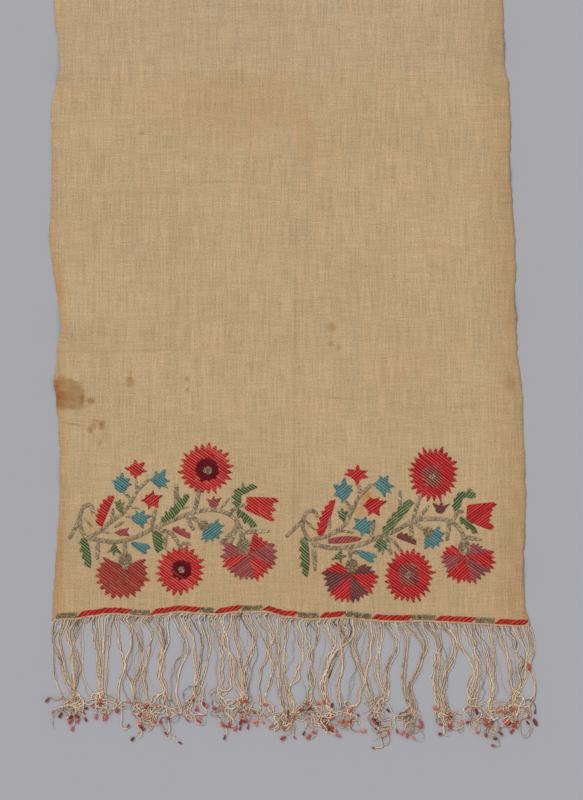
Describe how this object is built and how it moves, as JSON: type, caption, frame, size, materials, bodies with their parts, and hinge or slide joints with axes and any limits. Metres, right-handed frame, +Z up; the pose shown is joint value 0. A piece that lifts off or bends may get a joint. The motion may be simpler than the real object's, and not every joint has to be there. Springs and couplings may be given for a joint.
{
  "type": "embroidered towel",
  "caption": "Long thin slubby cloth towel lying flat, with puckered selvedges, a narrow far hem, flower sprigs and a stitched border along its near end, and a knotted cord fringe.",
  "frame": {"origin": "centre of the towel's box on the plane it lies on", "axes": "+Y along the towel from the fringed end to the plain hemmed end, +X to the right with the fringe nearest, +Z up out of the embroidered face"},
  "size_m": [0.4896, 1.192, 0.0046],
  "materials": {
    "cloth": "matt undyed plain weave, thin and slubby, aged to tan",
    "fringe": "matt undyed two-ply cords with red knotted tips",
    "embroidery": "soft sheen of floss in red, maroon, green and blue, with tarnished metal thread"
  },
  "bodies": {
    "root": {"cloth": "cloth", "fringe": "fringe"}
  },
  "joints": []
}
